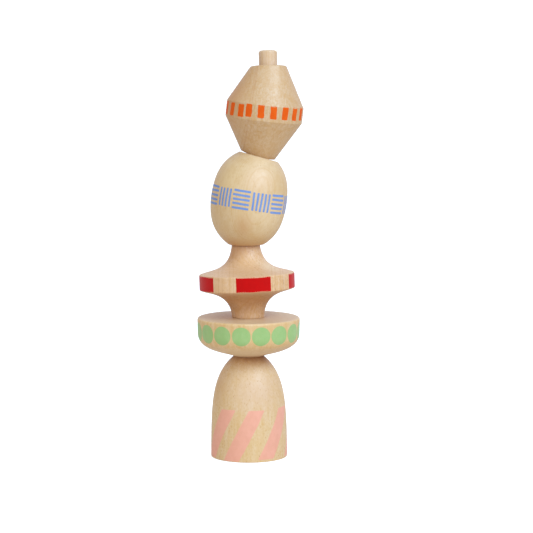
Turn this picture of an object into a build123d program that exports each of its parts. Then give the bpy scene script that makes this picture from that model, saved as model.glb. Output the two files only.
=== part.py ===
from build123d import *

import os
from itertools import accumulate
from math import radians, tan

# A stacking tower of five turned wooden shapes. Each shape has a short dowel peg glued
# into its top, and a blind socket underneath that drops over the peg of the shape below.
#
# +X is the tower's right, +Y its back and +Z up. The origin is the middle of the lowest
# shape's foot, on the table. Lengths are in millimetres and angles in degrees.
#
# Every shape is turned about an axis of its own and then sawn flat at both ends. The flats
# aren't all square to the axes, and that makes the upper shapes lean. A lean is written
# as (degrees to the right, degrees to the back) from upright.

# Dowel pegs, their glue holes and the loose sockets that go over them. The glued foot
# is thinner, so that a peg's shoulder rests on the flat.
PEG_R = 6.0
PEG_FOOT_R = 5.0
PEG_GLUED = 10.0
PEG_PROUD = 10.2
PEG_TIP_ROUND = 1.6
PEG_FOOT_CHAMFER = 0.6
GLUE_GAP = 0.05
SOCKET_PLAY = 0.3
SOCKET_DEPTH = 12.0
DRILL_POINT_R = 1.5
DRILL_POINT_DEPTH = 1.0

# Height of each shape, measured where its peg stands, from the lowest to the highest
HEIGHTS = {"dome": 67.2, "disc": 25.7, "spool": 48.3, "egg": 57.7, "cone": 58.9}
LEVELS = [0.0, *accumulate(HEIGHTS.values())]

# Where the peg line crosses each flat, and the flat's lean, from the foot to the top
FLAT_MIDDLES = [(0.0, 0.0), (-0.2, 0.0), (-0.4, 0.0), (-2.2, 0.8), (5.9, 2.3), (12.6, 2.7)]
FLAT_LEANS = [(0, 0), (0, 0), (0, 0), (0, 0), (15.4, 3.2), (-1.0, 6.0)]

# Lowest shape: a bullet-shaped dome
DOME_LEAN = (-0.3, 0)
DOME_R = 25.25
DOME_SKIRT = 1.0
DOME_SIDE_PULL = 35.3
DOME_SHOULDER = (24.6, 54.8)
DOME_CROWN = (10.05, 66.95)
DOME_FOOT_ROUND = 0.3
DOME_TOP_ROUND = 0.4

# Second shape: a dish-like disc with a nearly upright wall
DISC_MIDDLE = (-0.3, 0.0)
DISC_FOOT_R = 9.75
DISC_WALL_R = 33.65
DISC_TOP_R = 33.95
DISC_WALL_FOOT = 14.8
DISC_FOOT_SLOPE = 23.0
DISC_FOOT_PULL = 8.5
DISC_WALL_PULL = 10.95
DISC_TOP_ROUND = 1.6
DISC_FOOT_ROUND = 0.4

# Third shape: a spool with a flange between two flares
SPOOL_MIDDLE = (-0.5, 0.0)
SPOOL_LEAN = (-2.0, 1.7)
SPOOL_FOOT_R = 10.7
SPOOL_TOP_R = 9.3
SPOOL_FLANGE_R = 31.5
SPOOL_FLANGE_FOOT = 18.5
SPOOL_FLANGE_TOP = 29.2
SPOOL_FLANGE_ROUND = 0.95
SPOOL_LOWER_PULLS = (16.0, 5.4)
SPOOL_LOWER_SLOPES = (2.0, 23.4)
SPOOL_UPPER_PULLS = (17.0, 8.0)
SPOOL_UPPER_SLOPES = (5.5, 20.4)
SPOOL_END_ROUND = 0.5

# Fourth shape: an egg, placed by its middle, which is its widest section
EGG_MIDDLE = (0.0, 0.7)
EGG_MIDDLE_HEIGHT = 29.6
EGG_LEAN = (8.7, 1.5)
EGG_R = 24.9
EGG_SIDE_PULL = 16.2
EGG_SHOULDER = (20.1, 26.5)
EGG_POLE = (5.4, 33.1)
EGG_FOOT_ROUND = 0.9
EGG_TOP_ROUND = 1.2

# Highest shape: two cones joined by a narrow band, placed by the band's middle.
# The left and right ends of its foot are eased back, which leaves a flat strip between.
CONE_MIDDLE = (10.2, 2.9)
CONE_MIDDLE_HEIGHT = 29.4
CONE_LEAN = (6.6, -1.2)
CONE_R = 25.2
CONE_BAND = 10.2
CONE_LOWER_ANGLE = 30.3
CONE_UPPER_ANGLE = 28.8
CONE_END_R = 6.0
CONE_BAND_ROUND = 0.8
CONE_FOOT_STRIP = 14.6
CONE_FOOT_EASE = 12.0
CONE_FOOT_ROUND = 0.4
CONE_TOP_ROUND = 1.0

# Wood left beyond the flats before they are sawn
WASTE = 3.0


def leaning_plane(place, lean):
    """Plane through a place, its normal leaning from upright."""
    right = tan(radians(lean[0]))
    back = tan(radians(lean[1]))
    return Plane(origin=place, x_dir=(1, 0, -right), z_dir=(right, back, 1))


FLATS = [
    leaning_plane((*middle, level), lean)
    for middle, level, lean in zip(FLAT_MIDDLES, LEVELS, FLAT_LEANS)
]


def turned(edges, stand=Plane.XY):
    """Revolve an outline of (radius, height) edges, closed along the axis, onto a stand."""
    first = edges[0] @ 0
    last = edges[-1] @ 1
    core = Polyline(last, (0, last.Y), (0, first.Y), first)
    half_section = make_face(Plane.XZ * (Curve() + [*edges, core]))
    return stand.location * revolve(half_section, Axis.Z)


def sawn(blank, flat, keep, edge_round):
    """Saw a turned blank along a flat, keep one side of it and round the new edge."""
    piece = split(blank, bisect_by=flat, keep=keep)
    cut = piece.faces().sort_by(lambda face: abs(flat.to_local_coords(face.center()).Z))[0]
    return fillet(cut.outer_wire().edges(), edge_round)


def eased(piece, flat, strip, ease, edge_round):
    """Cut the left and right ends of a flat back from a strip, and round the new rim."""
    rise = (CONE_R - strip / 2) * tan(radians(ease))
    section = Polyline((strip / 2, 0), (CONE_R, 0), (CONE_R, rise), close=True)
    wedge = extrude(make_face(Plane.XZ * section), CONE_R, both=True)
    wedges = flat.location * (wedge + mirror(wedge, Plane.YZ))
    cut = piece - wedges
    foot = cut.faces().filter_by(GeomType.PLANE)
    rim = foot.edges().filter_by(GeomType.LINE, reverse=True)
    return fillet(rim, edge_round)


def drilled(shape, foot, top):
    """Drill the blind socket into the foot flat and the glue hole into the top flat."""
    socket = Cylinder(PEG_R + SOCKET_PLAY, SOCKET_DEPTH, align=(Align.CENTER, Align.CENTER, Align.MIN))
    point = Pos(0, 0, SOCKET_DEPTH + DRILL_POINT_DEPTH / 2) * Cone(DRILL_POINT_R, 0, DRILL_POINT_DEPTH)
    glue_hole = Cylinder(PEG_FOOT_R + GLUE_GAP, PEG_GLUED, align=(Align.CENTER, Align.CENTER, Align.MAX))
    return shape - foot.location * (socket + point) - top.location * glue_hole


def peg(flat):
    """Dowel peg standing on a flat, its thinner foot glued below it and its tip rounded."""
    dowel = Cylinder(PEG_R, PEG_PROUD, align=(Align.CENTER, Align.CENTER, Align.MIN))
    dowel += Cylinder(PEG_FOOT_R, PEG_GLUED, align=(Align.CENTER, Align.CENTER, Align.MAX))
    dowel = fillet(dowel.edges().sort_by(Axis.Z)[-1], PEG_TIP_ROUND)
    dowel = chamfer(dowel.edges().sort_by(Axis.Z)[0], PEG_FOOT_CHAMFER)
    return flat.location * dowel


def dome_base(foot, top):
    """Bullet-shaped dome with a small flat crown."""
    skirt = Line((DOME_R, -WASTE), (DOME_R, DOME_SKIRT))
    side = Bezier(skirt @ 1, (DOME_R, DOME_SIDE_PULL), DOME_SHOULDER, DOME_CROWN)
    crown_waste = Line(side @ 1, side @ 1 + (side % 1) * WASTE)
    blank = turned([skirt, side, crown_waste], leaning_plane((0, 0, 0), DOME_LEAN))
    blank = sawn(blank, foot, Keep.TOP, DOME_FOOT_ROUND)
    blank = sawn(blank, top, Keep.BOTTOM, DOME_TOP_ROUND)
    return drilled(blank, foot, top)


def dotted_disc(foot, top):
    """Dish-like disc: a curved underside, a nearly upright wall and a flat top."""
    height = HEIGHTS["disc"]
    wall = Line((DISC_WALL_R, DISC_WALL_FOOT), (DISC_TOP_R, height))
    foot_edge = Vector(DISC_FOOT_R, 0)
    foot_pull = foot_edge + Vector(DISC_FOOT_PULL, 0).rotate(Axis.Z, DISC_FOOT_SLOPE)
    wall_pull = wall @ 0 - (wall % 0) * DISC_WALL_PULL
    underside = Bezier(foot_edge, foot_pull, wall_pull, wall @ 0)
    blank = turned([underside, wall])
    blank = fillet(blank.edges().group_by(Axis.Z)[-1], DISC_TOP_ROUND)
    blank = fillet(blank.edges().group_by(Axis.Z)[0], DISC_FOOT_ROUND)
    blank = Pos(*DISC_MIDDLE, LEVELS[1]) * blank
    return drilled(blank, foot, top)


def flanged_spool(foot, top):
    """Spool: a flange between a lower and an upper flare, leaning a little."""
    height = HEIGHTS["spool"]
    rim_r = SPOOL_FLANGE_R - SPOOL_FLANGE_ROUND
    up = Vector(0, 1)
    foot_edge = Vector(SPOOL_FOOT_R, 0)
    flange_foot = Vector(rim_r, SPOOL_FLANGE_FOOT)
    flange_top = Vector(rim_r, SPOOL_FLANGE_TOP)
    top_edge = Vector(SPOOL_TOP_R, height)
    lower_start = up.rotate(Axis.Z, -SPOOL_LOWER_SLOPES[0]) * SPOOL_LOWER_PULLS[0]
    lower_end = Vector(1, 0).rotate(Axis.Z, SPOOL_LOWER_SLOPES[1]) * SPOOL_LOWER_PULLS[1]
    upper_start = Vector(-1, 0).rotate(Axis.Z, -SPOOL_UPPER_SLOPES[1]) * SPOOL_UPPER_PULLS[1]
    upper_end = up.rotate(Axis.Z, SPOOL_UPPER_SLOPES[0]) * SPOOL_UPPER_PULLS[0]
    lower_flare = Bezier(foot_edge, foot_edge + lower_start, flange_foot - lower_end, flange_foot)
    lower_rim = CenterArc((rim_r, SPOOL_FLANGE_FOOT + SPOOL_FLANGE_ROUND), SPOOL_FLANGE_ROUND, -90, 90)
    upper_rim = CenterArc((rim_r, SPOOL_FLANGE_TOP - SPOOL_FLANGE_ROUND), SPOOL_FLANGE_ROUND, 0, 90)
    flange = Line(lower_rim @ 1, upper_rim @ 0)
    upper_flare = Bezier(flange_top, flange_top + upper_start, top_edge - upper_end, top_edge)
    foot_waste = Line(foot_edge - (lower_flare % 0) * WASTE, foot_edge)
    top_waste = Line(top_edge, top_edge + (upper_flare % 1) * WASTE)
    edges = [foot_waste, lower_flare, lower_rim, flange, upper_rim, upper_flare, top_waste]
    blank = turned(edges, leaning_plane((*SPOOL_MIDDLE, LEVELS[2]), SPOOL_LEAN))
    blank = sawn(blank, foot, Keep.TOP, SPOOL_END_ROUND)
    blank = sawn(blank, top, Keep.BOTTOM, SPOOL_END_ROUND)
    return drilled(blank, foot, top)


def egg(foot, top):
    """Egg with a level foot and an oblique crown."""
    upper = [(EGG_R, 0), (EGG_R, EGG_SIDE_PULL), EGG_SHOULDER, EGG_POLE]
    lower = [(radius, -height) for radius, height in reversed(upper)]
    middle = (*EGG_MIDDLE, LEVELS[3] + EGG_MIDDLE_HEIGHT)
    blank = turned([Bezier(*lower), Bezier(*upper)], leaning_plane(middle, EGG_LEAN))
    blank = sawn(blank, foot, Keep.TOP, EGG_FOOT_ROUND)
    blank = sawn(blank, top, Keep.BOTTOM, EGG_TOP_ROUND)
    return drilled(blank, foot, top)


def double_cone(foot, top):
    """Two blunt cones joined base to base by a narrow band, with an eased foot."""
    taper = CONE_R - CONE_END_R
    lower_end = -CONE_BAND / 2 - taper / tan(radians(CONE_LOWER_ANGLE))
    upper_end = CONE_BAND / 2 + taper / tan(radians(CONE_UPPER_ANGLE))
    outline = FilletPolyline(
        (CONE_END_R, lower_end),
        (CONE_R, -CONE_BAND / 2),
        (CONE_R, CONE_BAND / 2),
        (CONE_END_R, upper_end),
        radius=CONE_BAND_ROUND,
    )
    middle = (*CONE_MIDDLE, LEVELS[4] + CONE_MIDDLE_HEIGHT)
    blank = turned([outline], leaning_plane(middle, CONE_LEAN))
    blank = split(blank, bisect_by=foot, keep=Keep.TOP)
    blank = eased(blank, foot, CONE_FOOT_STRIP, CONE_FOOT_EASE, CONE_FOOT_ROUND)
    blank = sawn(blank, top, Keep.BOTTOM, CONE_TOP_ROUND)
    return drilled(blank, foot, top)


SHAPES = [dome_base, dotted_disc, flanged_spool, egg, double_cone]
PEG_NAMES = ["dome_peg", "disc_peg", "spool_peg", "egg_peg", "top_peg"]

os.makedirs("parts", exist_ok=True)
for shape, peg_name, foot, top in zip(SHAPES, PEG_NAMES, FLATS, FLATS[1:]):
    export_step(shape(foot, top), f"parts/{shape.__name__}.step")
    export_step(peg(top), f"parts/{peg_name}.step")
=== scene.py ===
from math import ceil, cos, pi, radians, sin, tan

import bpy
import numpy as np
from mathutils import Matrix, Vector
from mathutils.bvhtree import BVHTree
from mathutils.geometry import delaunay_2d_cdt


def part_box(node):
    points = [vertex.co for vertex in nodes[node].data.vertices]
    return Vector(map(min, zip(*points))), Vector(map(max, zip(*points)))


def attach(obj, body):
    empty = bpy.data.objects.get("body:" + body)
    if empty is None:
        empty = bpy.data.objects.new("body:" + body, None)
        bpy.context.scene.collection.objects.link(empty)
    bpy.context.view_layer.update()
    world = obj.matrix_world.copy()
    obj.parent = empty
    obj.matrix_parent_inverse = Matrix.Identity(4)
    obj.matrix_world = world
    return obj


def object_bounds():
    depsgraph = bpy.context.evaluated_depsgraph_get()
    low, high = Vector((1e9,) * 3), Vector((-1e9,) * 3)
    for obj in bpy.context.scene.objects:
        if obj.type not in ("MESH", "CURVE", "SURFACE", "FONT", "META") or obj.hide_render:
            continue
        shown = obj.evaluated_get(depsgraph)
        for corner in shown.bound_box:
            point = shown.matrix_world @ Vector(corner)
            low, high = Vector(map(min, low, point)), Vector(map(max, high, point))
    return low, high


# A stacking tower of five turned wooden shapes with printed patterns. The shapes and pegs
# are the CAD nodes with wood materials. Each printed pattern is a thin film of ink laid on
# its shape. Sizes are in millimetres and angles in degrees unless a name says otherwise;
# a lean is (to the right, to the back). Round a shape, angle 0 faces the front and grows
# to the right.

MM = 0.001

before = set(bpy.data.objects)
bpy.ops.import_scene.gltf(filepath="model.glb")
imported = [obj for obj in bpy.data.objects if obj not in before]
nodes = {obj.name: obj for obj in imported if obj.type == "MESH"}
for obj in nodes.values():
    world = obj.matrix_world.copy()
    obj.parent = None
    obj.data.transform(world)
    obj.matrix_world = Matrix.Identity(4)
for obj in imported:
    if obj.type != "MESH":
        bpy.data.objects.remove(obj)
cad_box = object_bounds()
low_corner, high_corner = (Vector(corner) for corner in cad_box)


# ---------------------------------------------------------------- places on the pieces


def leaning_axes(node, height, lean):
    """Axes of a turned piece: origin in the middle of its box at a height, Z along its axis."""
    low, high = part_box(node)
    right = tan(radians(lean[0]))
    back = tan(radians(lean[1]))
    up = Vector((right, back, 1)).normalized()
    across = Vector((1, 0, -right)).normalized()
    turn = Matrix((across, up.cross(across), up)).transposed()
    middle = (low + high) / 2
    origin = Vector((middle.x, middle.y, low.z + height * MM))
    return Matrix.Translation(origin) @ turn.to_4x4()


# Heights are those of each piece's turning origin above its own lowest point
AXES = {
    "dome_base": leaning_axes("dome_base", 0.0, (-0.3, 0.0)),
    "dotted_disc": leaning_axes("dotted_disc", 0.0, (0.0, 0.0)),
    "flanged_spool": leaning_axes("flanged_spool", 23.85, (-2.0, 1.7)),
    "egg": leaning_axes("egg", 29.6, (8.7, 1.5)),
    "double_cone": leaning_axes("double_cone", 31.8, (6.6, -1.2)),
    "dome_peg": leaning_axes("dome_peg", 0.0, (0.0, 0.0)),
    "disc_peg": leaning_axes("disc_peg", 0.0, (0.0, 0.0)),
    "spool_peg": leaning_axes("spool_peg", 0.0, (0.0, 0.0)),
    "egg_peg": leaning_axes("egg_peg", 11.0, (15.4, 3.2)),
    "top_peg": leaning_axes("top_peg", 10.5, (-1.0, 6.0)),
}


# ---------------------------------------------------------------- materials


class Shader:
    """A node material being built. Values may be sockets or plain numbers."""

    def __init__(self, name):
        self.material = bpy.data.materials.new(name)
        self.material.use_nodes = True
        self.tree = self.material.node_tree
        self.surface = self.tree.nodes["Principled BSDF"]

    def node(self, kind, *values, **settings):
        made = self.tree.nodes.new("ShaderNode" + kind)
        for name, value in settings.items():
            setattr(made, name, value)
        for socket, value in zip(made.inputs, values):
            self.feed(socket, value)
        return made

    def feed(self, socket, value):
        if isinstance(value, bpy.types.NodeSocket):
            self.tree.links.new(value, socket)
        elif value is not None:
            socket.default_value = value

    def math(self, operation, a, b=None, c=None):
        return self.node("Math", a, b, c, operation=operation).outputs[0]

    def vector(self, operation, a, b=None):
        return self.node("VectorMath", a, b, operation=operation).outputs[0]

    def noise(self, place, stretch, detail=2.0, roughness=0.5):
        """Noise with its grains stretched by a scale per axis, in grains per mm."""
        where = self.vector("MULTIPLY", place, stretch)
        return self.node("TexNoise", where, None, 1.0, detail, roughness)

    def ramp(self, value, start, end, low=0.0, high=1.0):
        made = self.node("MapRange", value, start, end, low, high, interpolation_type="SMOOTHSTEP")
        return made.outputs[0]

    def mix(self, share, a, b, blend="MIX"):
        made = self.node("Mix", data_type="RGBA", blend_type=blend)
        self.feed(made.inputs[0], share)
        self.feed(made.inputs[6], a)
        self.feed(made.inputs[7], b)
        return made.outputs[2]


# A turned wood's look. The fibres run along the piece's axis. Rings are the growth rings
# round a pith line, given by the line's place beside the axis and its tilt. Veins are thin
# sheets along the fibres: (place to the right, its shift per mm of height, half width,
# strength, colour); one pale vein on the cone is a painted highlight. Patches are soft
# clouds of another colour in the wood's colour: (middle, reach to the sides, reach up and
# down, strength, colour); a strength over 1 gives one a solid heart. Some patches are the
# wood's own colour, and others are painted shade or painted light, as marked at each. The
# tone scales the colours, and the seed moves the pattern, so that no two pieces are alike.
# The other bare numbers are strengths, and sizes in mm.
WOOD = {
    "pale": (0.66, 0.45, 0.245, 1),
    "deep": (0.57, 0.31, 0.09, 1),
    "warm": (0.615, 0.37, 0.155, 1),
    "end_grain": (0.52, 0.315, 0.165, 1),
    "end_share": 0.4,
    "fleck_colour": (0.47, 0.205, 0.035, 1),
    "pith": (14.0, 62.0),
    "tilt": (3.0, 2.0),
    "bend": 9.0,
    "ring": 3.2,
    "rings": 0.3,
    "grain": 0.3,
    "speckle": 0.3,
    "mottle": 0.4,
    "flecks": 0.5,
    "fleck_size": 1.0,
    "veins": (),
    "patches": (),
    "tone": (1.0, 1.0, 1.0),
    "seed": 0.0,
}


def toned(colour, look):
    """One of a look's colours, scaled by the piece's own tone."""
    return (*(level * scale for level, scale in zip(colour, look["tone"])), 1)


def growth_rings(shader, place, shifted, look):
    """Share of dark late wood in the growth rings, which wander a little along the piece."""
    drift = shader.noise(shifted, (0.03, 0.03, 0.02), 2.0).outputs["Color"]
    drift = shader.vector("SUBTRACT", drift, (0.5, 0.5, 0.5))
    bent = shader.vector("ADD", place, shader.vector("MULTIPLY", drift, (look["bend"],) * 3))
    shift = (-look["pith"][0], -look["pith"][1], 0.0)
    tilt = (radians(look["tilt"][0]), radians(look["tilt"][1]), 0.0)
    from_pith = shader.node("Mapping", bent, shift, tilt, (1.0, 1.0, 1.0)).outputs[0]
    from_pith = shader.vector("MULTIPLY", from_pith, (1.0, 1.0, 0.0))
    radius = shader.node("VectorMath", from_pith, operation="LENGTH").outputs["Value"]
    year = shader.math("DIVIDE", radius, look["ring"])
    season = shader.math("FRACT", year)
    late = shader.math("MULTIPLY", shader.ramp(season, 0.25, 0.88), shader.ramp(season, 1.0, 0.9))
    whole = shader.math("FLOOR", year)
    strength = shader.node("TexWhiteNoise", None, whole, noise_dimensions="1D").outputs["Value"]
    return shader.math("MULTIPLY", late, shader.ramp(strength, 0.0, 1.0, 0.2, 1.0))


def pore_marks(shader, shifted, look):
    """Short pores, longer along the fibres, some of them missing."""
    size = look["fleck_size"]
    cell = shader.vector("MULTIPLY", shifted, (0.72 / size, 0.72 / size, 0.36 / size))
    cells = shader.node("TexVoronoi", cell, None, 1.0)
    mark = shader.ramp(cells.outputs["Distance"], 0.42, 0.12)
    chance = shader.node("SeparateColor", cells.outputs["Color"]).outputs[0]
    mark = shader.math("MULTIPLY", mark, shader.ramp(chance, 0.2, 1.0))
    patch = shader.noise(shifted, (0.16, 0.16, 0.1), 2.0).outputs["Fac"]
    return shader.math("MULTIPLY", mark, shader.ramp(patch, 0.38, 0.62, 0.35, 1.0))


def wood_layers(shader, axes, look):
    """Colour, relief, fibres and shifted place of a solid wood in the piece's own axes."""
    coordinates = shader.node("TexCoord").outputs
    turn = axes.to_euler()
    place = shader.node(
        "Mapping",
        coordinates["Object"],
        axes.to_translation(),
        turn,
        (MM, MM, MM),
        vector_type="TEXTURE",
    ).outputs[0]
    seed = look["seed"]
    shifted = shader.vector("ADD", place, (seed * 17.0, seed * 11.0, seed * 29.0))
    late = growth_rings(shader, place, shifted, look)
    pore = pore_marks(shader, shifted, look)

    # Streaks and fibres along the axis, and soft clouds
    streaks = shader.noise(shifted, (0.5, 0.5, 0.02), 3.0, 0.6).outputs["Fac"]
    fibres = shader.noise(shifted, (1.5, 1.5, 0.09), 2.0, 0.6).outputs["Fac"]
    mottle = shader.noise(shifted, (0.07, 0.07, 0.045), 3.0, 0.6).outputs["Fac"]
    cloud = shader.noise(shifted, (0.28, 0.28, 0.18), 2.0, 0.55).outputs["Fac"]
    speckle = shader.noise(shifted, (1.1, 1.1, 0.6), 2.0, 0.7).outputs["Fac"]

    depth = shader.math("MULTIPLY", late, look["rings"])
    for share, start, end, strength in (
        (streaks, 0.36, 0.66, look["grain"]),
        (fibres, 0.35, 0.7, look["grain"] * 0.6),
        (cloud, 0.4, 0.65, look["mottle"] * 0.4),
        (speckle, 0.36, 0.68, look["speckle"]),
    ):
        depth = shader.math("ADD", depth, shader.ramp(share, start, end, 0.0, strength))
    colour = shader.mix(depth, toned(look["pale"], look), toned(look["deep"], look))
    warm_share = shader.ramp(mottle, 0.38, 0.64, 0.0, look["mottle"])
    colour = shader.mix(warm_share, colour, toned(look["warm"], look))

    # Faces across the fibres are duller and darker
    along = axes.to_3x3() @ Vector((0, 0, 1))
    facing = shader.node("VectorMath", coordinates["Normal"], along, operation="DOT_PRODUCT")
    facing = shader.math("ABSOLUTE", facing.outputs["Value"])
    end_share = shader.ramp(facing, 0.5, 0.97, 0.0, look["end_share"])
    colour = shader.mix(end_share, colour, toned(look["end_grain"], look))

    for middle, wide, tall, strength, patch_colour in look["patches"]:
        away = shader.vector("SUBTRACT", place, middle)
        away = shader.vector("DIVIDE", away, (wide, wide, tall))
        away = shader.node("VectorMath", away, operation="LENGTH").outputs["Value"]
        away = shader.math("MULTIPLY_ADD", cloud, 0.5, shader.math("SUBTRACT", away, 0.25))
        colour = shader.mix(shader.ramp(away, 1.0, 0.0, 0.0, strength), colour, patch_colour)

    if look["veins"]:
        across, _, height = shader.node("SeparateXYZ", place).outputs
        wander = shader.noise(shifted, (0.04, 0.04, 0.07), 1.0).outputs["Fac"]
        across = shader.math("ADD", across, shader.math("MULTIPLY", wander, 1.2))
        for start, slope, half, strength, vein_colour in look["veins"]:
            middle = shader.math("MULTIPLY_ADD", height, slope, start + 0.6)
            away = shader.math("ABSOLUTE", shader.math("SUBTRACT", across, middle))
            vein = shader.math("MULTIPLY", shader.ramp(away, half, 0.0), strength)
            vein = shader.math("MULTIPLY", vein, shader.ramp(cloud, 0.3, 0.6, 0.5, 1.0))
            colour = shader.mix(vein, colour, vein_colour)

    colour = shader.mix(
        shader.math("MULTIPLY", pore, look["flecks"]), colour, look["fleck_colour"]
    )
    relief = shader.math("MULTIPLY", fibres, 0.5)
    relief = shader.math("ADD", relief, shader.math("MULTIPLY", streaks, 0.35))
    relief = shader.math("SUBTRACT", relief, shader.math("MULTIPLY", pore, 0.6))
    return colour, relief, fibres, shifted


def wood(name, axes, **changes):
    """Sanded, waxed wood turned about the given axes."""
    look = {**WOOD, **changes}
    shader = Shader(name)
    colour, relief, fibres, _ = wood_layers(shader, axes, look)
    shader.feed(shader.surface.inputs["Base Color"], colour)
    shader.feed(shader.surface.inputs["Roughness"], shader.ramp(fibres, 0.3, 0.7, 0.46, 0.58))
    bump = shader.node("Bump", 0.35, 0.0001)
    shader.feed(bump.inputs["Height"], relief)
    shader.feed(shader.surface.inputs["Normal"], bump.outputs["Normal"])
    shader.surface.inputs["Specular IOR Level"].default_value = 0.9
    return shader.material


def ink(name, axes, look, colour, thin_colour, cover, roughness, specular, sheen):
    """Printed ink: nearly opaque, with the wood's grain and pores showing a little."""
    shader = Shader(name)
    ground, relief, fibres, shifted = wood_layers(shader, axes, {**WOOD, **look})
    blotch = shader.noise(shifted, (0.22, 0.22, 0.16), 3.0, 0.65).outputs["Fac"]
    paint = shader.mix(shader.ramp(blotch, 0.36, 0.66), colour, thin_colour)
    speck = shader.noise(shifted, (1.6, 1.6, 0.7), 2.0, 0.6).outputs["Fac"]
    bare = 1.0 - cover
    open_share = shader.ramp(speck, 0.35, 0.75, bare, bare * 2.4)
    open_share = shader.math("ADD", open_share, shader.ramp(fibres, 0.45, 0.75, 0.0, bare * 0.8))
    shader.feed(shader.surface.inputs["Base Color"], shader.mix(open_share, paint, ground))
    shader.feed(
        shader.surface.inputs["Roughness"],
        shader.ramp(speck, 0.3, 0.7, roughness - 0.05, roughness + 0.07),
    )
    bump = shader.node("Bump", 0.22, 0.0001)
    shader.feed(bump.inputs["Height"], relief)
    shader.feed(shader.surface.inputs["Normal"], bump.outputs["Normal"])
    shader.surface.inputs["Specular IOR Level"].default_value = specular
    shader.surface.inputs["Sheen Weight"].default_value = sheen
    return shader.material


# Colours of the marks in the wood. The last three are painted shade: a near-black painted shadow
# and two browns for wood in shade. Some patches of the other colours are painted light or painted
# shade, as marked at each.
BROWN = (0.43, 0.185, 0.055, 1)
AMBER = (0.50, 0.235, 0.075, 1)
CREAM = (0.74, 0.54, 0.32, 1)
YELLOW = (0.68, 0.47, 0.22, 1)
BLUSH = (0.70, 0.455, 0.275, 1)
ROSE = (0.62, 0.40, 0.24, 1)
PAINTED_SHADOW = (0.22, 0.075, 0.02, 1)
UMBER_SHADE = (0.44, 0.17, 0.042, 1)
RUSSET_SHADE = (0.60, 0.30, 0.09, 1)

# Where the flange shows veins, measured to the right from the spool's axis
SPOOL_VEINS = (-18.3, -15.7, -10.9, -8.5, 16.7, 18.9, 22.3, 23.9)

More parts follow.
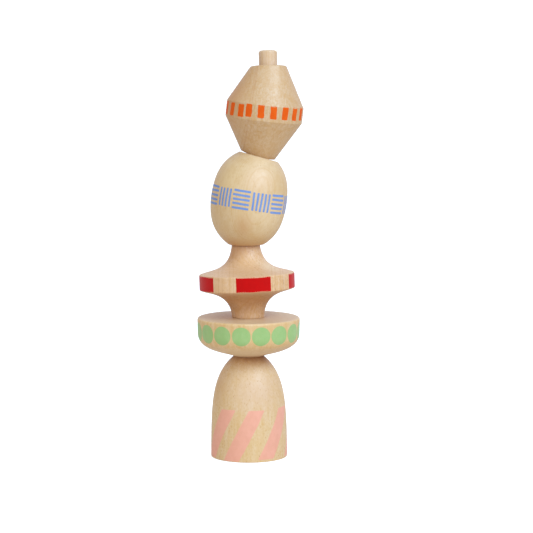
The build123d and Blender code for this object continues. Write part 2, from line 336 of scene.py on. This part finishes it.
LOOKS = {
    "dome_base": {
        "tone": (1.05, 1.115, 1.21),
        "seed": 1.0,
        "pith": (20.0, 70.0),
        "rings": 0.2,
        "speckle": 0.45,
        "flecks": 0.7,
        "fleck_size": 0.75,
        "patches": (
            # Painted shade: dark brown on the dome's top, under the disc
            ((0.0, 0.0, 70.0), 25.0, 15.0, 1.0, UMBER_SHADE),
            # Painted shadow: a thin dark band on the dome's top, just under the disc
            ((2.0, 0.0, 67.5), 20.0, 5.5, 1.0, PAINTED_SHADOW),
            ((-22.0, -10.0, 50.0), 18.0, 22.0, 0.35, AMBER),
            ((4.0, -20.0, 6.0), 34.0, 26.0, 0.3, YELLOW),
            ((5.0, -20.0, 46.0), 27.0, 24.0, 0.7, ROSE),
        ),
    },
    "dotted_disc": {
        "tone": (1.04, 1.05, 1.0),
        "seed": 2.0,
        "pith": (-30.0, 60.0),
        "rings": 0.32,
        "grain": 0.3,
        "flecks": 0.3,
        "end_grain": (0.57, 0.375, 0.235, 1),
        "end_share": 0.7,
        "patches": (
            ((-6.0, -10.0, 2.0), 36.0, 13.0, 0.75, CREAM),
            # Painted light: lifts the shade on the disc's top beside the spool's foot
            ((0.0, -18.0, 25.7), 15.0, 4.0, 0.6, CREAM),
            # Painted shade: orange at the disc's foot, where it sits on the dome
            ((4.0, -8.0, -1.0), 18.0, 7.0, 0.6, AMBER),
        ),
    },
    "flanged_spool": {
        "tone": (1.055, 1.04, 1.19),
        "seed": 3.0,
        "pith": (45.0, 40.0),
        "ring": 2.2,
        "rings": 0.5,
        "speckle": 0.45,
        "flecks": 0.7,
        "fleck_colour": (0.40, 0.155, 0.035, 1),
        "end_grain": (0.54, 0.30, 0.14, 1),
        "veins": tuple((x, 0.0, 0.5, 0.45, AMBER) for x in SPOOL_VEINS),
        "patches": (
            # Painted shadow: a dark ring round the spool's top edge, under the egg's foot
            ((0.0, 0.0, 24.4), 40.0, 1.8, 1.6, PAINTED_SHADOW),
            # Painted shade: dark brown under the flange, on its underside and the lower neck
            ((0.0, 0.0, -9.0), 38.0, 15.0, 1.0, UMBER_SHADE),
            ((-7.0, -4.0, 19.0), 17.0, 17.0, 0.75, AMBER),
            # Painted light: paler wood on the lit right side of the upper flare
            ((16.0, -8.0, 10.0), 14.0, 9.0, 0.6, CREAM),
        ),
    },
    "egg": {
        "tone": (0.945, 0.975, 0.975),
        "seed": 4.0,
        "pith": (14.0, -45.0),
        "tilt": (6.0, 0.0),
        "bend": 3.0,
        "ring": 1.3,
        "rings": 0.42,
        "grain": 0.15,
        "speckle": 0.2,
        "flecks": 0.4,
        "patches": (
            ((-1.0, -22.0, -17.0), 9.0, 12.0, 0.5, AMBER),
            ((5.0, -22.0, 14.0), 16.0, 16.0, 0.4, BLUSH),
            # Painted shade: orange round the egg's foot, where it sits on the spool
            ((0.0, 0.0, -31.0), 26.0, 11.0, 0.9, AMBER),
            # Painted light: lifts the shade on the egg's crown beside the cone's foot
            ((5.0, -11.0, 27.0), 17.0, 8.0, 0.5, CREAM),
            ((14.0, -18.0, -8.0), 20.0, 20.0, 0.4, CREAM),
            ((-14.0, -16.0, 8.0), 16.0, 18.0, 0.5, YELLOW),
        ),
    },
    "double_cone": {
        "tone": (0.865, 0.86, 0.93),
        "seed": 5.0,
        "pith": (-35.0, 50.0),
        "rings": 0.25,
        "speckle": 0.6,
        "flecks": 0.5,
        "patches": (
            ((-24.0, -8.0, 10.0), 22.0, 36.0, 1.0, AMBER),
            # Painted shade: warm orange-brown at the cone's foot, where it sits on the egg
            ((0.0, 0.0, -34.0), 20.0, 7.0, 0.7, RUSSET_SHADE),
        ),
        "veins": (
            (-9.3, 0.06, 0.7, 0.5, BROWN),
            (-10.8, 0.076, 0.6, 0.35, BROWN),
            (-13.6, 0.09, 0.5, 0.25, BROWN),
            (-7.2, 0.05, 0.5, 0.22, BROWN),
            (-5.2, 0.04, 0.4, 0.18, BROWN),
            # Painted highlight: a faint pale streak on the cone's right
            (4.7, 0.03, 2.2, 0.12, CREAM),
        ),
    },
    "dome_peg": {"seed": 6.0},
    "disc_peg": {"seed": 7.0},
    "spool_peg": {"seed": 8.0},
    "egg_peg": {"seed": 9.0},
    "top_peg": {"tone": (0.965, 1.005, 1.24), "seed": 10.0},
}

for node_name, look in LOOKS.items():
    material = wood(node_name + "_wood", AXES[node_name], **look)
    for slot in nodes[node_name].material_slots:
        slot.material = material


# ---------------------------------------------------------------- printed patterns

# A film's outer and inner skin, measured out from the wood. CELL is the size of its
# triangles, and RAY_START is how far from the axis a search for the wall begins
FILM_TOP = 0.05
FILM_FOOT = -0.10
CELL = 0.8
ROW = CELL * 0.87
RAY_START = 60.0


def rounded(corners, radius, step=0.35):
    """Closed outline through corners, each rounded, with points a step apart."""
    outline = []
    count = len(corners)
    for index in range(count):
        here = np.array(corners[index], float)
        before = np.array(corners[index - 1], float)
        after = np.array(corners[(index + 1) % count], float)
        reach_in = min(radius, 0.49 * np.linalg.norm(before - here))
        reach_out = min(radius, 0.49 * np.linalg.norm(after - here))
        start = here + (before - here) / np.linalg.norm(before - here) * reach_in
        end = here + (after - here) / np.linalg.norm(after - here) * reach_out
        for t in np.linspace(0.0, 1.0, 5):
            outline.append((1 - t) ** 2 * start + 2 * t * (1 - t) * here + t**2 * end)
    dense = []
    for index in range(len(outline)):
        start = outline[index]
        end = outline[(index + 1) % len(outline)]
        pieces = max(1, ceil(np.linalg.norm(end - start) / step))
        for k in range(pieces):
            dense.append(start + (end - start) * k / pieces)
    return np.array(dense)


def hand_drawn(outline, amount, rng, shortest=3.0):
    """The outline with a smooth, unsteady edge."""
    following = np.roll(outline, -1, axis=0)
    lengths = np.linalg.norm(following - outline, axis=1)
    along = np.concatenate(([0.0], np.cumsum(lengths)[:-1])) / lengths.sum()
    tangent = following - np.roll(outline, 1, axis=0)
    tangent /= np.linalg.norm(tangent, axis=1, keepdims=True) + 1e-12
    outward = np.stack((tangent[:, 1], -tangent[:, 0]), axis=1)
    waves = max(2, int(lengths.sum() / shortest))
    push = np.zeros(len(outline))
    for wave in range(2, waves + 1):
        push += rng.normal(0.0, 1.0) * np.sin(2 * pi * (wave * along + rng.random())) / wave**0.5
    push /= np.abs(push).max() + 1e-9
    return outline + outward * (amount * push)[:, None]


def inside(points, outline):
    """Which points lie inside a closed outline."""
    x, y = points[:, 0][:, None], points[:, 1][:, None]
    x0, y0 = outline[:, 0], outline[:, 1]
    x1, y1 = np.roll(x0, -1), np.roll(y0, -1)
    crosses = (y0 > y) != (y1 > y)
    rise = np.where(y1 == y0, 1.0, y1 - y0)
    reach = x0 + (y - y0) / rise * (x1 - x0)
    return (crosses & (x < reach)).sum(axis=1) % 2 == 1


def clear_of(points, outline, gap):
    """Which points are at least a gap from every point of the outline."""
    return np.sqrt(((points[:, None, :] - outline[None, :, :]) ** 2).sum(axis=2)).min(axis=1) > gap


def filled(outline):
    """Triangles over an outline, with a lattice of points inside it."""
    low, high = outline.min(axis=0), outline.max(axis=0)
    lattice = []
    rows = int((high[1] - low[1]) / ROW) + 1
    for row in range(1, rows):
        start = low[0] + (CELL / 2 if row % 2 else 0.0)
        for x in np.arange(start, high[0], CELL):
            lattice.append((x, low[1] + row * ROW))
    points = outline
    if lattice:
        lattice = np.array(lattice)
        lattice = lattice[inside(lattice, outline)]
        if len(lattice):
            lattice = lattice[clear_of(lattice, outline, CELL * 0.45)]
        points = np.vstack((outline, lattice)) if len(lattice) else outline
    count = len(outline)
    edges = [(k, (k + 1) % count) for k in range(count)]
    flat = [Vector((x, y)) for x, y in points]
    spots, _, faces, _, _, _ = delaunay_2d_cdt(flat, edges, [], 1, 1e-6)
    return np.array([(spot.x, spot.y) for spot in spots]), [tuple(face) for face in faces]


def search_tree(shape):
    """Tree of a shape's faces, for ray casting."""
    wall = nodes[shape].data
    return BVHTree.FromPolygons(
        [vertex.co for vertex in wall.vertices],
        [tuple(polygon.vertices) for polygon in wall.polygons],
    )


def on_wall(tree, axes, radius, spots, depth):
    """Points at a depth over the wall, for spots of (distance round the shape, height)."""
    turn = axes.to_3x3()
    points = []
    for arc, height in spots:
        angle = arc / radius
        out = turn @ Vector((sin(angle), -cos(angle), 0.0))
        start = axes @ Vector((0.0, 0.0, height * MM)) + out * RAY_START * MM
        hit, normal, _, _ = tree.ray_cast(start, -out)
        normal = (normal + out).normalized() if normal.dot(out) > 0 else out
        points.append(hit + normal * depth * MM)
    return points


def film(name, shape, body, material, radius, outlines):
    """Closed ink film over outlines of (distance round the shape, height), laid on its wall."""
    tree = search_tree(shape)
    verts, faces, rims = [], [], []
    for outline in outlines:
        spots, triangles = filled(outline)
        base = len(verts)
        count = len(spots)
        for depth in (FILM_TOP, FILM_FOOT):
            verts += on_wall(tree, AXES[shape], radius, spots, depth)
        uses = {}
        for a, b, c in triangles:
            side = (Vector(spots[b]) - Vector(spots[a])).cross(Vector(spots[c]) - Vector(spots[a]))
            if side < 0:
                b, c = c, b
            faces.append((base + a, base + b, base + c))
            faces.append((base + count + a, base + count + c, base + count + b))
            for edge in ((a, b), (b, c), (c, a)):
                uses[edge] = True
        for a, b in uses:
            if (b, a) not in uses:
                faces.append((base + b, base + a, base + count + a, base + count + b))
                rims.append((base + a, base + b))
                rims.append((base + count + a, base + count + b))
    mesh = bpy.data.meshes.new(name)
    mesh.from_pydata(verts, [], faces)
    mesh.polygons.foreach_set("use_smooth", [True] * len(mesh.polygons))
    sharp = {tuple(sorted(edge)) for edge in rims}
    for edge in mesh.edges:
        edge.use_edge_sharp = tuple(sorted(edge.vertices)) in sharp
    mesh.materials.append(material)
    piece = bpy.data.objects.new(name, mesh)
    bpy.context.scene.collection.objects.link(piece)
    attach(piece, body)


def box_corners(left, right, low, high):
    return [(left, low), (right, low), (right, high), (left, high)]


# Dome: seven slanting pink stripes, from the foot to half its height. Each turns through
# STRIPE_SLANT degrees over STRIPE_RISE
DOME_R = 25.2
STRIPE_STARTS = (-41.4, 12.0, 66.3, 110.0, 155.0, 200.0, 272.0)
STRIPE_WIDTH = 25.8
STRIPE_SLANT = 41.2
STRIPE_RISE = 34.0
STRIPE_FEET = (0.45, 1.6, 1.0, 0.7, 1.3, 0.6, 0.9)
STRIPE_TOPS = (34.2, 34.5, 34.0, 34.4, 34.1, 34.5, 34.3)


def dome_stripes():
    rng = np.random.default_rng(11)
    per_degree = DOME_R * pi / 180
    outlines = []
    for start, foot, top in zip(STRIPE_STARTS, STRIPE_FEET, STRIPE_TOPS):
        left = start * per_degree
        right = (start + STRIPE_WIDTH) * per_degree
        slant = STRIPE_SLANT * per_degree / STRIPE_RISE
        tilt = rng.normal(0.0, 0.2)
        corners = [
            (left + slant * foot, foot),
            (right + slant * foot, foot),
            (right + slant * top, top + tilt),
            (left + slant * top, top - tilt),
        ]
        outlines.append(hand_drawn(rounded(corners, 0.7, 0.5), 0.16, rng, 5.0))
    return outlines


# Disc: sixteen green dots, nearly touching
DISC_R = 33.7
DOT_COUNT = 16
DOT_R = 6.2
DOT_HEIGHT = 17.0
DOT_START = 14.6


def disc_dots():
    rng = np.random.default_rng(12)
    outlines = []
    for index in range(DOT_COUNT):
        middle = radians(DOT_START + index * 360 / DOT_COUNT) * DISC_R + rng.normal(0.0, 0.12)
        height = DOT_HEIGHT + rng.normal(0.0, 0.1)
        turns = np.linspace(0.0, 2 * pi, 72, endpoint=False)
        circle = np.stack((middle + DOT_R * np.cos(turns), height + DOT_R * np.sin(turns)), axis=1)
        outlines.append(hand_drawn(circle, 0.07, rng, 8.0))
    return outlines


# Spool: five red rectangles over the whole rim of the flange
FLANGE_R = 31.5
RECTANGLE_STARTS = (-12.4, 60.6, 132.0, 203.4, 274.2)
RECTANGLE_WIDTH = 42.4
RECTANGLE_LOW = -4.85
RECTANGLE_HIGH = 4.85


def flange_rectangles():
    rng = np.random.default_rng(13)
    per_degree = FLANGE_R * pi / 180
    outlines = []
    for start in RECTANGLE_STARTS:
        left = start * per_degree
        right = (start + RECTANGLE_WIDTH) * per_degree
        corners = box_corners(left, right, RECTANGLE_LOW, RECTANGLE_HIGH)
        outlines.append(hand_drawn(rounded(corners, 0.45, 0.45), 0.05, rng, 9.0))
    return outlines


# Egg: a basket weave of blue lines, flat groups of five and upright groups of five,
# with one upright group of four where the band meets itself
EGG_R = 24.8
GROUP_STARTS = (-80.5, -25.1, 36.4, 97.3, 158.0, 218.8)
FLAT_WIDTH = 26.3
FLAT_THICK = 1.42
FLAT_PITCH = 2.81
FLAT_MIDDLE = 0.25
UPRIGHT_COUNTS = (4, 5, 5, 5, 5, 5)
UPRIGHT_THICK = 1.35
UPRIGHT_GAP = 5.65
UPRIGHT_PITCH = 6.15
UPRIGHT_LOW = -5.8
UPRIGHT_HIGH = 6.3


def egg_weave():
    rng = np.random.default_rng(14)
    per_degree = EGG_R * pi / 180
    outlines = []
    for start, count in zip(GROUP_STARTS, UPRIGHT_COUNTS):
        half = FLAT_THICK / 2
        for row in range(5):
            middle = FLAT_MIDDLE + (2 - row) * FLAT_PITCH + rng.normal(0.0, 0.06)
            left = (start + rng.normal(0.0, 0.4)) * per_degree
            right = (start + FLAT_WIDTH + rng.normal(0.0, 0.3)) * per_degree
            tip = rng.normal(0.0, 0.05)
            corners = [
                (left, middle - half - tip),
                (right, middle - half + tip),
                (right, middle + half + tip),
                (left, middle + half - tip),
            ]
            outlines.append(hand_drawn(rounded(corners, 0.5), 0.05, rng, 5.0))
        half = UPRIGHT_THICK / 2
        for index in range(count):
            angle = start + FLAT_WIDTH + UPRIGHT_GAP + index * UPRIGHT_PITCH
            middle = angle * per_degree
            tip = rng.normal(0.0, 0.07)
            low = UPRIGHT_LOW + rng.normal(0.0, 0.12)
            high = UPRIGHT_HIGH + rng.normal(0.0, 0.12)
            corners = [
                (middle - half - tip, low),
                (middle + half - tip, low),
                (middle + half + tip, high),
                (middle - half + tip, high),
            ]
            outlines.append(hand_drawn(rounded(corners, 0.5), 0.05, rng, 5.0))
    return outlines


# Double cone: nineteen orange bars on the band, a little wider apart at the back, with a
# short step where the row meets itself and a slow drift in height round it
CONE_R = 25.2
BAR_START = -23.8
BAR_PITCHES = (18.7,) * 5 + (19.52,) * 12 + (18.7,)
BAR_WIDTH = 10.0
BAR_HEIGHT = 8.4
BAR_DRIFT_ANGLES = (BAR_START, 69.0, 323.0)
BAR_DRIFT = (0.85, 1.4, 0.0)


def cone_bars():
    rng = np.random.default_rng(15)
    per_degree = CONE_R * pi / 180
    outlines = []
    for angle in BAR_START + np.cumsum((0.0, *BAR_PITCHES)):
        middle = angle * per_degree
        height = np.interp(angle, BAR_DRIFT_ANGLES, BAR_DRIFT)
        half = (BAR_WIDTH + rng.normal(0.0, 0.25)) * per_degree / 2
        tip = rng.normal(0.0, 0.12)
        tall = BAR_HEIGHT / 2
        corners = [
            (middle - half - tip, height - tall + rng.normal(0.0, 0.08)),
            (middle + half - tip, height - tall + rng.normal(0.0, 0.08)),
            (middle + half + tip, height + tall + rng.normal(0.0, 0.06)),
            (middle - half + tip, height + tall + rng.normal(0.0, 0.06)),
        ]
        outlines.append(hand_drawn(rounded(corners, 0.8, 0.4), 0.15, rng))
    return outlines


# Each print with its ink: colour, colour where it lies thin, cover, roughness, specular
# level and sheen
PRINTS = [
    (
        ("dome_stripes", "dome_base", "dome", "pink_ink", DOME_R, dome_stripes()),
        ((0.77, 0.355, 0.25, 1), (0.74, 0.335, 0.23, 1), 0.96, 0.55, 0.4, 0.0),
    ),
    (
        ("disc_dots", "dotted_disc", "disc", "green_ink", DISC_R, disc_dots()),
        ((0.255, 0.44, 0.145, 1), (0.285, 0.46, 0.165, 1), 0.95, 0.5, 0.4, 0.12),
    ),
    (
        ("flange_rectangles", "flanged_spool", "spool", "red_ink", FLANGE_R, flange_rectangles()),
        ((0.47, 0.003, 0.003, 1), (0.50, 0.003, 0.003, 1), 0.9995, 0.4, 0.02, 0.13),
    ),
    (
        ("egg_weave", "egg", "egg", "blue_ink", EGG_R, egg_weave()),
        ((0.10, 0.217, 0.51, 1), (0.123, 0.24, 0.53, 1), 0.95, 0.5, 0.4, 0.0),
    ),
    (
        ("cone_bars", "double_cone", "cone", "orange_ink", CONE_R, cone_bars()),
        ((0.70, 0.100, 0.006, 1), (0.66, 0.085, 0.005, 1), 0.995, 0.5, 0.06, 0.0),
    ),
]

for (name, shape, body, slot, radius, outlines), finish in PRINTS:
    material = ink(slot, AXES[shape], LOOKS[shape], *finish)
    film(name, shape, body, material, radius, outlines)


# ---------------------------------------------------------------- studio

FLOOR_REACH = 60.0
FLOOR_DROP = 0.1 * MM


def floor_sheet():
    """A wide pale floor, slightly lower than the dome's foot.

    The camera sees it white. A dim warm light goes up from it to the toy.
    """
    mesh = bpy.data.meshes.new("floor")
    reach = FLOOR_REACH
    corners = [(-reach, -reach), (reach, -reach), (reach, reach), (-reach, reach)]
    height = low_corner.z - FLOOR_DROP
    mesh.from_pydata([(x, y, height) for x, y in corners], [], [(0, 1, 2, 3)])
    piece = bpy.data.objects.new("floor", mesh)
    bpy.context.scene.collection.objects.link(piece)
    shader = Shader("floor_paper")
    place = shader.node("TexCoord").outputs["Object"]
    tooth = shader.node("TexNoise", place, None, 900.0, 3.0, 0.6).outputs["Fac"]
    tone = shader.ramp(tooth, 0.3, 0.7)
    paper = shader.mix(tone, (0.93, 0.93, 0.93, 1), (0.9, 0.9, 0.9, 1))
    shader.feed(shader.surface.inputs["Base Color"], paper)
    shader.surface.inputs["Roughness"].default_value = 0.9
    shader.surface.inputs["Specular IOR Level"].default_value = 0.1
    shader.surface.inputs["Emission Color"].default_value = (1, 1, 1, 1)
    shader.surface.inputs["Emission Strength"].default_value = FLOOR_LIFT
    dim = shader.node("BsdfDiffuse", FLOOR_BOUNCE)
    glow = shader.node("Emission", FLOOR_GLOW, 1.0)
    warm = shader.node("AddShader", dim.outputs[0], glow.outputs[0])
    path = shader.node("LightPath")
    seen = shader.node(
        "MixShader", path.outputs["Is Camera Ray"], warm.outputs[0], shader.surface.outputs[0]
    )
    shader.feed(shader.tree.nodes["Material Output"].inputs["Surface"], seen.outputs[0])
    mesh.materials.append(shader.material)


def studio_world():
    """White backdrop. The light round it is a sum of broad lobes, one per direction."""
    world = bpy.data.worlds.new("studio")
    bpy.context.scene.world = world
    world.use_nodes = True
    tree = world.node_tree
    tree.nodes.clear()
    where = tree.nodes.new("ShaderNodeTexCoord").outputs["Generated"]
    total = None
    for direction, colour in LOBES:
        facing = tree.nodes.new("ShaderNodeVectorMath")
        facing.operation = "DOT_PRODUCT"
        tree.links.new(where, facing.inputs[0])
        facing.inputs[1].default_value = direction
        lobe = tree.nodes.new("ShaderNodeMath")
        lobe.operation = "MAXIMUM"
        lobe.inputs[1].default_value = 0.0
        tree.links.new(facing.outputs["Value"], lobe.inputs[0])
        tint = tree.nodes.new("ShaderNodeVectorMath")
        tint.operation = "SCALE"
        tint.inputs[0].default_value = colour
        tree.links.new(lobe.outputs[0], tint.inputs["Scale"])
        if total is None:
            total = tint.outputs[0]
        else:
            join = tree.nodes.new("ShaderNodeVectorMath")
            join.operation = "ADD"
            tree.links.new(total, join.inputs[0])
            tree.links.new(tint.outputs[0], join.inputs[1])
            total = join.outputs[0]
    light = tree.nodes.new("ShaderNodeBackground")
    tree.links.new(total, light.inputs["Color"])
    backdrop = tree.nodes.new("ShaderNodeBackground")
    backdrop.inputs["Color"].default_value = (1, 1, 1, 1)
    backdrop.inputs["Strength"].default_value = BACKDROP_STRENGTH
    path = tree.nodes.new("ShaderNodeLightPath")
    mix = tree.nodes.new("ShaderNodeMixShader")
    out = tree.nodes.new("ShaderNodeOutputWorld")
    tree.links.new(path.outputs["Is Camera Ray"], mix.inputs[0])
    tree.links.new(light.outputs[0], mix.inputs[1])
    tree.links.new(backdrop.outputs[0], mix.inputs[2])
    tree.links.new(mix.outputs[0], out.inputs["Surface"])


def soft_light(name, place, aim, size, power, colour):
    data = bpy.data.lights.new(name, "AREA")
    data.shape = "DISK"
    data.size = size
    data.energy = power
    data.color = colour
    lamp = bpy.data.objects.new(name, data)
    bpy.context.scene.collection.objects.link(lamp)
    lamp.location = place
    lamp.rotation_euler = (Vector(place) - Vector(aim)).to_track_quat("Z", "Y").to_euler()


# The world's light: directions it comes from, with red, green and blue strengths
LOBES = [
    ((1, 0, 0), (0.16, 0.10, 0.25)),
    ((-1, 0, 0), (0.10, 0.02, 0.0)),
    ((0, -1, 0), (1.30, 1.38, 1.53)),
    ((0, 1, 0), (0.86, 0.83, 0.95)),
    ((0, 0, 1), (0.56, 0.75, 0.84)),
]
# These make the backdrop and the floor pure white, as the camera sees them
BACKDROP_STRENGTH = 1.1
FLOOR_LIFT = 0.4

# What the floor sends up to the toy: light it reflects, and a glow of its own
FLOOR_BOUNCE = (0.5, 0.45, 0.4, 1)
FLOOR_GLOW = (0.277, 0.264, 0.233, 1)

# A large soft lamp to the right, in front and above. Its place, measured from the middle,
# and its size are in metres, and its power in watts
KEY_PLACE = (0.75, -0.85, 0.95)
KEY_SIZE = 0.7
KEY_POWER = 10.0
KEY_COLOUR = (0.794, 1.088, 1.347)

# The camera stands about five tower heights in front and looks a little down. Its places
# are in metres
CAMERA_LENS = 133.9
CAMERA_RIGHT = 0.01154
CAMERA_DISTANCE = 1.3
CAMERA_HEIGHT = 0.2704
CAMERA_DOWN = 6.32

middle = (low_corner + high_corner) / 2
floor_sheet()
studio_world()
soft_light("key", middle + Vector(KEY_PLACE), middle, KEY_SIZE, KEY_POWER, KEY_COLOUR)

camera_data = bpy.data.cameras.new("camera")
camera_data.lens = CAMERA_LENS
camera_data.sensor_width = 36.0
camera = bpy.data.objects.new("camera", camera_data)
bpy.context.scene.collection.objects.link(camera)
camera.location = Vector((CAMERA_RIGHT, -CAMERA_DISTANCE, low_corner.z + CAMERA_HEIGHT))
camera.rotation_euler = (radians(90 - CAMERA_DOWN), 0.0, 0.0)
bpy.context.scene.camera = camera

bpy.context.scene.view_settings.view_transform = "Standard"
